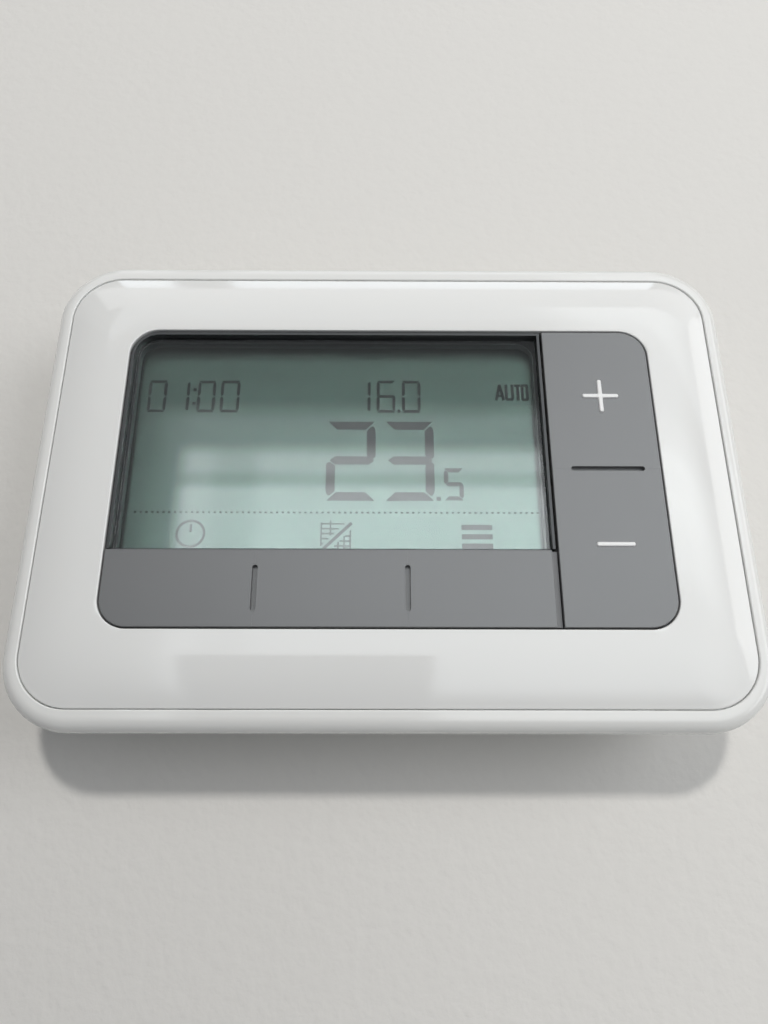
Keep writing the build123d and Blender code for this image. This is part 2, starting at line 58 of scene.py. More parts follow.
camera = bpy.data.objects.new("camera", bpy.data.cameras.new("camera"))
camera.data.lens = FOCAL_LENGTH
camera.data.sensor_width = SENSOR_WIDTH
camera.data.clip_start = NEAREST_SIGHT
camera.location = LENS_AT
camera.rotation_euler = (LENS_TILT, LENS_ROLL, LENS_PAN)
bpy.context.scene.collection.objects.link(camera)
bpy.context.scene.camera = camera
bpy.context.scene.view_settings.view_transform = "Standard"
bpy.context.scene.view_settings.look = "None"

# ---- Wall ----
# The painted wall that the thermostat hangs on: pale, warm and matt, with the faint mottle of a roller.
# It is clear when seen from behind, and open behind the wall plate, so that the back shows.
WALL_GAP = 0.3 * MM
WALL_HALF = 1.5
OPEN_INSET = 0.2 * MM
OPEN_RADIUS = 7.6 * MM
OPEN_STEPS = 8
WALL_LIGHT = (0.795, 0.782, 0.755, 1)
WALL_DARK = (0.775, 0.762, 0.737, 1)
MOTTLE_SCALE = 380
MOTTLE_HEIGHT = 0.2 * MM
NOISE_LOW = 0.3
NOISE_HIGH = 0.7


def new_material(name):
    """A material with shader nodes, returned with its Principled shader."""
    material = bpy.data.materials.new(name)
    material.use_nodes = True
    return material, material.node_tree.nodes["Principled BSDF"]


def node(material, kind, **settings):
    """A new shader node, with its own settings and then its input sockets filled in by name."""
    made = material.node_tree.nodes.new(kind)
    for key, value in settings.items():
        if hasattr(made, key):
            setattr(made, key, value)
        else:
            made.inputs[key.replace("_", " ")].default_value = value
    return made


def wire(material, source, target):
    """A link between two sockets."""
    material.node_tree.links.new(source, target)


def surface_noise(material, scale, detail, stretch=(1, 1, 1)):
    """A noise over the piece's own coordinates, in cycles per metre."""
    place = node(material, "ShaderNodeTexCoord")
    turn = node(material, "ShaderNodeMapping")
    turn.inputs["Scale"].default_value = stretch
    noise = node(material, "ShaderNodeTexNoise", Scale=scale, Detail=detail)
    wire(material, place.outputs["Object"], turn.inputs["Vector"])
    wire(material, turn.outputs["Vector"], noise.inputs["Vector"])
    return noise.outputs["Fac"]


def spread(material, value, low, high):
    """A noise value stretched between two limits."""
    span = node(
        material, "ShaderNodeMapRange", From_Min=NOISE_LOW, From_Max=NOISE_HIGH, To_Min=low, To_Max=high,
    )
    wire(material, value, span.inputs["Value"])
    return span.outputs["Result"]


def tinted(material, value, dark, light):
    """A colour that drifts between two near shades."""
    mix = node(material, "ShaderNodeMix", data_type="RGBA")
    mix.inputs[6].default_value = dark
    mix.inputs[7].default_value = light
    wire(material, value, mix.inputs[0])
    return mix.outputs[2]


def bumped(material, value, height):
    """A bump from a height value, in metres."""
    bump = node(material, "ShaderNodeBump", Strength=1.0, Distance=height)
    wire(material, value, bump.inputs["Height"])
    return bump.outputs["Normal"]


wall_paint, paint = new_material("wall_paint")
paint.inputs["Roughness"].default_value = 0.75
paint.inputs["Specular IOR Level"].default_value = 0.25
mottle = surface_noise(wall_paint, MOTTLE_SCALE, 4)
wire(wall_paint, tinted(wall_paint, mottle, WALL_DARK, WALL_LIGHT), paint.inputs["Base Color"])
wire(wall_paint, bumped(wall_paint, mottle, MOTTLE_HEIGHT), paint.inputs["Normal"])
see_through = node(wall_paint, "ShaderNodeBsdfTransparent")
side = node(wall_paint, "ShaderNodeNewGeometry")
pick = node(wall_paint, "ShaderNodeMixShader")
wall_out = wall_paint.node_tree.nodes["Material Output"]
wire(wall_paint, side.outputs["Backfacing"], pick.inputs[0])
wire(wall_paint, paint.outputs[0], pick.inputs[1])
wire(wall_paint, see_through.outputs[0], pick.inputs[2])
wire(wall_paint, pick.outputs[0], wall_out.inputs["Surface"])

bm = bmesh.new()
plate_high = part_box("wall_plate")[1]
corner_x = plate_high.x - OPEN_INSET - OPEN_RADIUS
corner_z = plate_high.z - OPEN_INSET - OPEN_RADIUS
outer, arcs = [], []
for i, (side_x, side_z) in enumerate(((1, 1), (-1, 1), (-1, -1), (1, -1))):
    outer.append(bm.verts.new((side_x * WALL_HALF, WALL_GAP, side_z * WALL_HALF)))
    turns = [math.radians(90) * (i + step / OPEN_STEPS) for step in range(OPEN_STEPS + 1)]
    arcs.append([
        bm.verts.new((
            side_x * corner_x + OPEN_RADIUS * math.cos(turn),
            WALL_GAP,
            side_z * corner_z + OPEN_RADIUS * math.sin(turn),
        ))
        for turn in turns
    ])
for i in range(4):
    following = (i + 1) % 4
    bm.faces.new((outer[following], arcs[following][0], arcs[i][-1], outer[i]))
    for first, second in zip(arcs[i], arcs[i][1:]):
        bm.faces.new((outer[i], second, first))
wall_mesh = bpy.data.meshes.new("wall")
bm.to_mesh(wall_mesh)
bm.free()
wall = bpy.data.objects.new("wall", wall_mesh)
wall.data.materials.append(wall_paint)
bpy.context.scene.collection.objects.link(wall)

# ---- Room light ----
# Daylight falls in from straight ahead and about 21 degrees up, with a softer fill from the right and a
# lamp behind the wall for the thermostat's back. Cards are there for the gloss to mirror: the window, the
# ceiling, the room to the right, the strip lamps and the small dark thing held below the camera.
ROOM_COLOUR = (0.965, 0.985, 1.0, 1)
ROOM_STRENGTH = 0.34
DAYLIGHT_RISE = math.radians(21.5)
DAYLIGHT_DISTANCE = 2.0
DAYLIGHT_SIDE = 0.05
DAYLIGHT_COLOUR = (1.0, 0.97, 0.925)
FILL_COLOUR = (0.98, 0.99, 1.0)
BEHIND_COLOUR = (1.0, 0.99, 0.97)

world = bpy.data.worlds.new("room")
bpy.context.scene.world = world
world.use_nodes = True
world.node_tree.nodes["Background"].inputs["Color"].default_value = ROOM_COLOUR
world.node_tree.nodes["Background"].inputs["Strength"].default_value = ROOM_STRENGTH
# The room light is met by chance, not aimed for as a lamp is, so that the holder card can shade it.
world.cycles.sampling_method = "NONE"


def area_lamp(name, place, size, power, colour):
    """A square soft lamp that shines from a place towards the thermostat, and isn't mirrored in it."""
    light = bpy.data.lights.new(name, "AREA")
    light.size = size
    light.energy = power
    light.color = colour
    made = bpy.data.objects.new(name, light)
    made.location = place
    made.rotation_euler = (-Vector(place)).to_track_quat("-Z", "Y").to_euler()
    made.visible_glossy = False
    bpy.context.scene.collection.objects.link(made)


daylight_place = (
    DAYLIGHT_SIDE,
    -DAYLIGHT_DISTANCE * math.cos(DAYLIGHT_RISE),
    DAYLIGHT_DISTANCE * math.sin(DAYLIGHT_RISE),
)
area_lamp("daylight", daylight_place, size=0.14, power=13.0, colour=DAYLIGHT_COLOUR)
area_lamp("right_fill", (0.75, -0.75, 0.15), size=0.6, power=3.4, colour=FILL_COLOUR)
area_lamp("behind", (-0.5, 1.0, 0.6), size=0.5, power=4.5, colour=BEHIND_COLOUR)


def glowing(name, colour, strength):
    """A material that gives out even light."""
    material = bpy.data.materials.new(name)
    material.use_nodes = True
    material.node_tree.nodes.remove(material.node_tree.nodes["Principled BSDF"])
    light = node(material, "ShaderNodeEmission", Color=colour, Strength=strength)
    wire(material, light.outputs[0], material.node_tree.nodes["Material Output"].inputs["Surface"])
    return material, light


def mirrored_card(name, sides, ends, away, upright, material):
    """A flat card that gloss and glass see: upright in front of the wall, or level above it."""
    (left, right), (low, high) = sides, ends
    bm = bmesh.new()
    bmesh.ops.create_grid(bm, x_segments=1, y_segments=1, size=0.5)
    bmesh.ops.scale(bm, verts=bm.verts, vec=(right - left, high - low, 1))
    if upright:
        bmesh.ops.rotate(bm, verts=bm.verts, matrix=Matrix.Rotation(math.radians(90), 3, "X"))
        bmesh.ops.translate(bm, verts=bm.verts, vec=((left + right) / 2, -away, (low + high) / 2))
    else:
        bmesh.ops.translate(bm, verts=bm.verts, vec=((left + right) / 2, (low + high) / 2, away))
    mesh = bpy.data.meshes.new(name)
    bm.to_mesh(mesh)
    bm.free()
    made = bpy.data.objects.new(name, mesh)
    made.data.materials.append(material)
    made.visible_camera = False
    made.visible_diffuse = False
    made.visible_shadow = False
    bpy.context.scene.collection.objects.link(made)
    return made


# The window's own edges and brightness. A pair is where an edge starts and where it is complete, in metres
# across or up from the thermostat's middle, and a single number is the brightness added or taken there.
WINDOW_DISTANCE = 1.025
ROOM_GLOW = 0.34
HAZE_TOP = (0.565, 0.52)
HAZE = 0.9
PANE_TOP = (0.490, 0.455)
PANE = 2.3
TRANSOM_TOP = (0.441, 0.425)
TRANSOM = -1.0
LOWER_TOP = (0.420, 0.398)
LOWER = 1.8
SILL_TOP = (0.29, 0.22)
SILL = -1.7
FLOOR_TOP = (-0.70, -0.35)
WINDOW_LEFT = (-0.335, -0.30)
HAZE_LEFT = (-0.42, -0.29)
CURTAIN_LEFT = (-0.285, -0.25)
CURTAIN_RIGHT = (-0.18, -0.215)
CURTAIN = -0.7
RIGHT_WALL_LEFT = (0.24, 0.40)
RIGHT_WALL_LOW = (0.30, 0.45)
RIGHT_WALL_RIGHT = (1.25, 0.50)
RIGHT_WALL = 2.0
WINDOW_RIGHT = (1.30, 0.50)
CEILING_LOW = (0.66, 0.74)
CEILING = 1.3

window_glow, window_light = glowing("window_glow", (0.93, 0.98, 1.0, 1), 1.0)


def soft_step(value, limits):
    """Rises smoothly from 0 to 1 as a value goes from the first limit to the second."""
    start, end = limits
    step = node(
        window_glow, "ShaderNodeMapRange", interpolation_type="SMOOTHSTEP", From_Min=start, From_Max=end,
    )
    wire(window_glow, value, step.inputs["Value"])
    return step.outputs["Result"]


def combined(operation, first, second):
    """Two values, or a value and a number, put together by a sum or a product."""
    sum_or_product = node(window_glow, "ShaderNodeMath", operation=operation)
    wire(window_glow, first, sum_or_product.inputs[0])
    if isinstance(second, float):
        sum_or_product.inputs[1].default_value = second
    else:
        wire(window_glow, second, sum_or_product.inputs[1])
    return sum_or_product.outputs[0]


window_place = node(window_glow, "ShaderNodeTexCoord")
window_axes = node(window_glow, "ShaderNodeSeparateXYZ")
wire(window_glow, window_place.outputs["Object"], window_axes.inputs[0])
across, upward = window_axes.outputs["X"], window_axes.outputs["Z"]
haze = combined("MULTIPLY", soft_step(upward, HAZE_TOP), HAZE)
haze = combined("MULTIPLY", haze, soft_step(across, HAZE_LEFT))
panes = combined("MULTIPLY", soft_step(upward, PANE_TOP), PANE)
for top, change in ((TRANSOM_TOP, TRANSOM), (LOWER_TOP, LOWER), (SILL_TOP, SILL)):
    strip = combined("MULTIPLY", soft_step(upward, top), change)
    panes = combined("ADD", panes, strip)
curtain = combined("MULTIPLY", soft_step(across, CURTAIN_LEFT), CURTAIN)
curtain = combined("MULTIPLY", curtain, soft_step(across, CURTAIN_RIGHT))
curtain = combined("MULTIPLY", curtain, soft_step(upward, PANE_TOP))
panes = combined("ADD", panes, curtain)
panes = combined("MULTIPLY", panes, soft_step(across, WINDOW_LEFT))
panes = combined("MULTIPLY", panes, soft_step(across, WINDOW_RIGHT))
right_wall = combined("MULTIPLY", soft_step(across, RIGHT_WALL_LEFT), RIGHT_WALL)
right_wall = combined("MULTIPLY", right_wall, soft_step(upward, RIGHT_WALL_LOW))
right_wall = combined("MULTIPLY", right_wall, soft_step(across, RIGHT_WALL_RIGHT))
ceiling = combined("MULTIPLY", soft_step(upward, CEILING_LOW), CEILING)
room_level = combined("ADD", panes, haze)
room_level = combined("ADD", room_level, right_wall)
room_level = combined("ADD", room_level, ceiling)
room_level = combined("MULTIPLY", room_level, soft_step(upward, FLOOR_TOP))
room_level = combined("ADD", room_level, ROOM_GLOW)
wire(window_glow, room_level, window_light.inputs["Strength"])
mirrored_card("far_window", (-0.62, 1.3), (-0.80, 1.10), WINDOW_DISTANCE, True, window_glow)

# The ceiling, the lit room to the right, and a strip lamp in two lengths level with the ceiling.
CARD_CEILING = 1.1
STRIP_ENDS = (-0.45, -0.19)
side_glow, _ = glowing("side_glow", (0.97, 0.99, 1.0, 1), 1.7)
mirrored_card("ceiling", (-0.8, 1.3), (-WINDOW_DISTANCE, -0.46), CARD_CEILING, False, side_glow)
far_glow, _ = glowing("far_glow", (0.97, 0.99, 1.0, 1), 3.2)
mirrored_card("far_right", (1.32, 4.5), (-0.9, 1.6), WINDOW_DISTANCE, True, far_glow)
strip_glow, _ = glowing("strip_glow", (0.86, 0.93, 1.0, 1), 3.4)
mirrored_card("strip_lamp_left", (-0.47, -0.325), STRIP_ENDS, CARD_CEILING, False, strip_glow)
mirrored_card("strip_lamp_right", (-0.235, 0.46), STRIP_ENDS, CARD_CEILING, False, strip_glow)

# The dark thing that is held up to the thermostat, and the one who holds it, whose card isn't mirrored
# and only takes up room light.
HELD_DISTANCE = 0.1624
HOLDER_DISTANCE = 0.10
held_dark, _ = glowing("held_dark", (0.85, 0.9, 1.0, 1), 0.12)
mirrored_card("held_thing", (-0.072, 0.017), (-0.60, -0.028), HELD_DISTANCE, True, held_dark)
holder = mirrored_card("holder", (-0.55, 0.0), (-0.70, -0.045), HOLDER_DISTANCE, True, held_dark)
holder.visible_glossy = False
holder.visible_transmission = False
holder.visible_diffuse = True

# ---- Wall plate ----
# The moulded plate that two screws hold to the wall, with its cable entry, bosses and clip tabs.
# Injection-moulded white plastic, with the fine grain of a spark-eroded mould.
SHARP = math.radians(32)
LEVEL = math.radians(0.8)
DRIFT_SCALE = 35
JOINED = 0.002 * MM


def shade_by_angle(bm):
    """Smooth faces, with the edges left sharp where the surface turns hard."""
    for face in bm.faces:
        face.smooth = True
    for edge in bm.edges:
        edge.smooth = len(edge.link_faces) == 2 and edge.calc_face_angle(0) < SHARP


def place_piece(bm, name, material, body, stands_for=()):
    """Turns a finished bmesh into a piece that rides on a body and stands for CAD nodes."""
    mesh = bpy.data.meshes.new(name)
    bm.to_mesh(mesh)
    bm.free()
    made = bpy.data.objects.new(name, mesh)
    made.data.materials.append(material)
    bpy.context.scene.collection.objects.link(made)
    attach(made, body)
    even = made.modifiers.new("even_normals", "WEIGHTED_NORMAL")
    even.keep_sharp = True
    if stands_for:
        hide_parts(*stands_for)


def solid_of(cad_node):
    """A CAD node's own shape as one merged solid with flat faces joined up."""
    bm = bmesh.new()
    bm.from_mesh(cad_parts[cad_node].data)
    bmesh.ops.remove_doubles(bm, verts=bm.verts, dist=JOINED)
    bmesh.ops.dissolve_limit(bm, angle_limit=LEVEL, verts=bm.verts, edges=bm.edges)
    return bm


def sharp_edges(bm):
    """The edges where two faces meet at a hard angle."""
    return [e for e in bm.edges if len(e.link_faces) == 2 and e.calc_face_angle(0) > SHARP]


def soften(bm, edges, width, segments):
    """Rounds edges as a mould does."""
    bmesh.ops.bevel(
        bm, geom=edges, offset=width, offset_type="OFFSET", segments=segments, profile=0.5,
        affect="EDGES", clamp_overlap=True, material=-1,
    )


def moulded(cad_node, material, body, edge, segments=2):
    """A moulded piece with the CAD node's shape and softened edges."""
    bm = solid_of(cad_node)
    if edge > 0:
        soften(bm, sharp_edges(bm), edge, segments)
    shade_by_angle(bm)
    place_piece(bm, f"{cad_node}_piece", material, body, (cad_node,))


def plastic(name, dark, light, roughness, grain, height, specular=0.5):
    """Moulded plastic: a slight drift of shade, the mould's grain in the gloss and a fine bump."""
    material, shader = new_material(name)
    drift = surface_noise(material, DRIFT_SCALE, 2)
    fine = surface_noise(material, grain, 3)
    wire(material, tinted(material, drift, dark, light), shader.inputs["Base Color"])
    wire(material, spread(material, fine, *roughness), shader.inputs["Roughness"])
    wire(material, bumped(material, fine, height), shader.inputs["Normal"])
    shader.inputs["Specular IOR Level"].default_value = specular
    return material


plate_plastic = plastic(
    "plate_plastic", dark=(0.70, 0.70, 0.67, 1), light=(0.74, 0.74, 0.71, 1),
    roughness=(0.42, 0.55), grain=2600, height=0.02 * MM,
)
moulded("wall_plate", plate_plastic, "wall_plate", edge=0.2 * MM)

# ---- Terminals ----
# Three rising-cage clamps in a grey moulded block, each with a brass bar, a steel cage and a slotted
# screw. The bars end in the sockets that the head's pins plug into.


def metal(name, colour, roughness, scratch, stretch=(1, 1, 1)):
    """Bare metal with drawn or plated streaks in its gloss."""
    material, shader = new_material(name)
    streak = surface_noise(material, scratch, 4, stretch)
    shader.inputs["Metallic"].default_value = 1.0
    dark = tuple(0.85 * c for c in colour) + (1,)
    wire(material, tinted(material, streak, dark, (*colour, 1)), shader.inputs["Base Color"])
    wire(material, spread(material, streak, *roughness), shader.inputs["Roughness"])
    return material


block_plastic = plastic(
    "block_plastic", dark=(0.36, 0.38, 0.39, 1), light=(0.40, 0.42, 0.43, 1),
    roughness=(0.45, 0.6), grain=3000, height=0.02 * MM,
)
brass = metal("brass", (0.80, 0.62, 0.30), (0.22, 0.38), 1500, (1, 1, 6))
zinc_steel = metal("zinc_steel", (0.66, 0.67, 0.69), (0.28, 0.45), 2200)
cage_steel = metal("cage_steel", (0.56, 0.57, 0.58), (0.32, 0.5), 1800, (6, 1, 1))
moulded("terminal_block", block_plastic, "wall_plate", edge=0.12 * MM)
moulded("terminal_contacts", brass, "wall_plate", edge=0.05 * MM)
for number in (1, 2, 3):
    moulded(f"terminal_screw_{number}", zinc_steel, f"terminal_screw_{number}", edge=0.08 * MM)
    moulded(f"terminal_cage_{number}", cage_steel, f"terminal_cage_{number}", edge=0.06 * MM)

# ---- Rear case ----
# The tapered back moulding of the head: battery bay, wiring well, screw pockets and vents.
# White plastic with a light grain outside, thinner and plainer than the glossy front.
case_plastic = plastic(
    "case_plastic", dark=(0.74, 0.74, 0.72, 1), light=(0.77, 0.77, 0.75, 1),
    roughness=(0.36, 0.48), grain=2400, height=0.015 * MM,
)
moulded("rear_case", case_plastic, "head", edge=0.15 * MM)

# ---- Batteries and their contacts ----
# Two AA cells lie end to end along the bottom of the case, between a flat contact and a coil spring.
# Plain film jackets over steel cans, with a bare steel nub, and no print.
CAN_STEEL = (0.62, 0.63, 0.65, 1)
JACKET_BLACK = (0.018, 0.02, 0.024, 1)
JACKET_COPPER = (0.42, 0.25, 0.10, 1)
jacket, jacket_shader = new_material("cell_jacket")
jacket_shader.inputs["Roughness"].default_value = 0.28
jacket_shader.inputs["Coat Weight"].default_value = 0.5
jacket_place = node(jacket, "ShaderNodeTexCoord")
jacket_axes = node(jacket, "ShaderNodeSeparateXYZ")
wire(jacket, jacket_place.outputs["Object"], jacket_axes.inputs[0])
cell_low, cell_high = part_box("battery_cell_left")
cell_repeat = cell_high.x - cell_low.x
along = node(jacket, "ShaderNodeMath", operation="ADD")
along.inputs[1].default_value = -cell_low.x
wire(jacket, jacket_axes.outputs["X"], along.inputs[0])
along_cell = node(jacket, "ShaderNodeMath", operation="MODULO")
along_cell.inputs[1].default_value = cell_repeat
wire(jacket, along.outputs[0], along_cell.inputs[0])
bands = node(jacket, "ShaderNodeValToRGB")
bands.color_ramp.interpolation = "CONSTANT"
bands.color_ramp.elements[0].position = 0.0
bands.color_ramp.elements[0].color = CAN_STEEL
bands.color_ramp.elements[1].position = 0.012
bands.color_ramp.elements[1].color = JACKET_BLACK
for position, colour in ((0.72, JACKET_COPPER), (0.95, CAN_STEEL)):
    stop = bands.color_ramp.elements.new(position)
    stop.color = colour
share = node(jacket, "ShaderNodeMath", operation="DIVIDE")
share.inputs[1].default_value = cell_repeat
wire(jacket, along_cell.outputs[0], share.inputs[0])
wire(jacket, share.outputs[0], bands.inputs[0])
wire(jacket, bands.outputs["Color"], jacket_shader.inputs["Base Color"])
nickel = metal("nickel", (0.74, 0.72, 0.68), (0.16, 0.3), 2600)
moulded("battery_cell_left", jacket, "head", edge=0)
moulded("battery_cell_right", jacket, "head", edge=0)
moulded("battery_plate", nickel, "head", edge=0.08 * MM)
moulded("battery_spring", nickel, "head", edge=0)

# ---- Circuit board ----
# The board behind the display, with its chip, relay, capacitor, crystal, air sensor, pins and screws.
# Green solder resist over copper tracks, on glass fibre.
board_resist, resist = new_material("board_resist")
resist.inputs["Roughness"].default_value = 0.3
resist.inputs["Coat Weight"].default_value = 0.3
board_place = node(board_resist, "ShaderNodeTexCoord")
tracks = node(
    board_resist, "ShaderNodeTexBrick", Scale=90.0, Mortar_Size=0.03, Brick_Width=0.7, Row_Height=0.16,
)
tracks.inputs["Color1"].default_value = (0.012, 0.10, 0.045, 1)
tracks.inputs["Color2"].default_value = (0.012, 0.115, 0.05, 1)
tracks.inputs["Mortar"].default_value = (0.04, 0.19, 0.08, 1)
flat_board = node(board_resist, "ShaderNodeMapping")
flat_board.inputs["Rotation"].default_value = (math.radians(90), 0, 0)
wire(board_resist, board_place.outputs["Object"], flat_board.inputs["Vector"])
wire(board_resist, flat_board.outputs["Vector"], tracks.inputs["Vector"])
wire(board_resist, tracks.outputs["Color"], resist.inputs["Base Color"])
wire(board_resist, bumped(board_resist, tracks.outputs["Fac"], 0.03 * MM), resist.inputs["Normal"])
chip_black = plastic(
    "chip_black", dark=(0.02, 0.02, 0.022, 1), light=(0.03, 0.03, 0.033, 1),
    roughness=(0.4, 0.55), grain=4000, height=0.01 * MM,
)
relay_blue = plastic(
    "relay_blue", dark=(0.02, 0.05, 0.16, 1), light=(0.03, 0.06, 0.18, 1),
    roughness=(0.3, 0.42), grain=2600, height=0.01 * MM,
)
can_metal = metal("can_metal", (0.78, 0.79, 0.80), (0.18, 0.32), 1600, (1, 8, 1))
bead_resin = plastic(
    "bead_resin", dark=(0.04, 0.025, 0.015, 1), light=(0.06, 0.04, 0.025, 1),
    roughness=(0.15, 0.25), grain=1500, height=0.02 * MM,
)
moulded("main_board", board_resist, "head", edge=0.05 * MM)
moulded("microcontroller", chip_black, "head", edge=0.04 * MM)
moulded("relay", relay_blue, "head", edge=0.15 * MM)
moulded("capacitor", can_metal, "head", edge=0.12 * MM)
moulded("crystal", can_metal, "head", edge=0.15 * MM)
moulded("thermistor", bead_resin, "head", edge=0)
moulded("contact_pins", brass, "head", edge=0.06 * MM)
moulded("board_screws", zinc_steel, "head", edge=0.06 * MM)
moulded("tact_switches", chip_black, "head", edge=0.1 * MM)

# ---- Display stack ----
# A liquid-crystal cell: film, two glasses, a silvered film that gives the grey green, and a clear light
# guide. It sits in a white holder on the board, joined to it by a striped rubber strip.
holder_white = plastic(
    "holder_white", dark=(0.78, 0.78, 0.77, 1), light=(0.81, 0.81, 0.80, 1),
    roughness=(0.4, 0.5), grain=2600, height=0.015 * MM,
)
guide_acrylic, acrylic = new_material("guide_acrylic")
acrylic.inputs["Base Color"].default_value = (0.80, 0.90, 0.87, 1)
acrylic.inputs["Roughness"].default_value = 0.2
acrylic.inputs["Transmission Weight"].default_value = 0.6
guide_dots = node(guide_acrylic, "ShaderNodeTexVoronoi", Scale=900.0)
guide_place = node(guide_acrylic, "ShaderNodeTexCoord")
wire(guide_acrylic, guide_place.outputs["Object"], guide_dots.inputs["Vector"])
guide_bump = bumped(guide_acrylic, guide_dots.outputs["Distance"], 0.05 * MM)
wire(guide_acrylic, guide_bump, acrylic.inputs["Normal"])
led_resin = plastic(
    "led_resin", dark=(0.80, 0.78, 0.55, 1), light=(0.84, 0.82, 0.62, 1),
    roughness=(0.2, 0.3), grain=2000, height=0.01 * MM,
)
strip_rubber, rubber = new_material("strip_rubber")
rubber.inputs["Roughness"].default_value = 0.6
stripes = node(strip_rubber, "ShaderNodeTexWave", bands_direction="X", Scale=950.0)
stripe_place = node(strip_rubber, "ShaderNodeTexCoord")
wire(strip_rubber, stripe_place.outputs["Object"], stripes.inputs["Vector"])
striped = tinted(strip_rubber, stripes.outputs["Fac"], (0.03, 0.03, 0.03, 1), (0.55, 0.28, 0.26, 1))
wire(strip_rubber, striped, rubber.inputs["Base Color"])
moulded("lcd_holder", holder_white, "head", edge=0.1 * MM)
moulded("light_guide", guide_acrylic, "head", edge=0.1 * MM)
moulded("backlight_leds", led_resin, "head", edge=0.08 * MM)
moulded("elastomer_connector", strip_rubber, "head", edge=0.1 * MM)

# The silvered film gives the display its grey green, and the rear glass carries that colour to the front.
silver_green, silver = new_material("silver_green")
pearl = surface_noise(silver_green, 90, 2)
silver.inputs["Roughness"].default_value = 0.20
silver.inputs["IOR"].default_value = 2.3
silver.inputs["Specular Tint"].default_value = (0.60, 1.0, 0.85, 1)
shade_of_cell = tinted(silver_green, pearl, (0.032, 0.045, 0.038, 1), (0.035, 0.049, 0.042, 1))
wire(silver_green, shade_of_cell, silver.inputs["Base Color"])
moulded("lcd_reflector", silver_green, "head", edge=0)
moulded("lcd_rear_glass", silver_green, "head", edge=0)


def thin_film(name, colour, roughness, share):
    """A clear layer so thin that it only adds a little of its own shade and gloss."""
    material, shader = new_material(name)
    shader.inputs["Base Color"].default_value = colour
    shader.inputs["Roughness"].default_value = roughness
    shader.inputs["Alpha"].default_value = share
    return material


cell_glass = thin_film("cell_glass", (0.30, 0.36, 0.33, 1), 0.05, 0.01)
polariser_film = thin_film("polariser_film", (0.20, 0.24, 0.24, 1), 0.30, 0.03)
moulded("lcd_front_glass", cell_glass, "head", edge=0)
moulded("lcd_polariser", polariser_film, "head", edge=0)

# ---- Display marks ----
# The dark marks of the liquid crystal, between its two glasses: the time, the set and room temperatures,
# the word AUTO, a dotted rule and three plain symbols over the soft keys. Each is a thin wafer.
MARK_DEPTH = -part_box("lcd_rear_glass")[0].y
MARK_THICKNESS = 0.03 * MM
SEGMENTS_OF = {"0": "abcdef", "1": "bc", "2": "abged", "3": "abgcd", "5": "afgcd", "6": "afgedc"}
lcd_ink = plastic(
    "lcd_ink", dark=(0.008, 0.009, 0.010, 1), light=(0.010, 0.011, 0.013, 1),
    roughness=(0.6, 0.7), grain=3000, height=0.002 * MM, specular=0.05,
)


def wafer(bm, points):
    """A thin dark patch with the given corners, in millimetres as seen from the room."""
    front = [bm.verts.new((x * MM, -MARK_DEPTH - MARK_THICKNESS, z * MM)) for x, z in points]
    made = bmesh.ops.extrude_face_region(bm, geom=[bm.faces.new(front)])
    back = [part for part in made["geom"] if isinstance(part, bmesh.types.BMVert)]
    bmesh.ops.translate(bm, verts=back, vec=(0, MARK_THICKNESS * 0.9, 0))


def stroke(bm, start, end, width):
    """A straight bar between two points."""
    a, b = Vector(start), Vector(end)
    along = (b - a).normalized()
    out = Vector((-along.y, along.x)) * width / 2
    wafer(bm, [a + out, a - out, b - out, b + out])


def level_bar(bm, x0, x1, edge, inward, width, gap):
    """The top or bottom bar of a figure, its ends mitred towards the middle."""
    wafer(bm, [
        (x0 + gap, edge), (x1 - gap, edge),
        (x1 - width - gap, edge + inward * width), (x0 + width + gap, edge + inward * width),
    ])


def side_bar(bm, edge, inward, corner, middle, width, gap):
    """A side bar: mitred and rounded at the figure's corner, pointed at its middle."""
    up = math.copysign(1, corner - middle)
    inner = edge + inward * width
    wafer(bm, [
        (inner, corner - up * (width + gap)),
        (edge + inward * 0.48 * width, corner - up * (0.48 * width + gap)),
        (edge + inward * 0.26 * width, corner - up * (0.50 * width + gap)),
        (edge + inward * 0.08 * width, corner - up * (0.75 * width + gap)),
        (edge, corner - up * (1.2 * width + gap)),
        (edge, middle + up * (0.32 * width + gap)),
        (edge + inward * 0.22 * width, middle + up * (0.10 * width + gap)),
        (edge + inward * 0.42 * width, middle + up * (0.08 * width + gap)),
        (inner, middle + up * (0.5 * width + gap)),
    ])


def figure(bm, name, x0, x1, z0, z1, width, gap):
    """One seven-bar figure between its left, right, bottom and top."""
    middle = (z0 + z1) / 2
    for bar in SEGMENTS_OF[name]:
        if bar == "a":
            level_bar(bm, x0, x1, z1, -1, width, gap)
        elif bar == "d":
            level_bar(bm, x0, x1, z0, 1, width, gap)
        elif bar == "g":
            half, tip = width / 2, width * 0.6
            wafer(bm, [
                (x0 + gap + 0.25 * width, middle), (x0 + gap + tip + 0.25 * width, middle + half),
                (x1 - gap - tip, middle + half), (x1 - gap, middle),
                (x1 - gap - tip, middle - half), (x0 + gap + tip + 0.25 * width, middle - half),
            ])
        else:
            edge, inward = (x0, 1) if bar in "ef" else (x1, -1)
            side_bar(bm, edge, inward, z1 if bar in "bf" else z0, middle, width, gap)


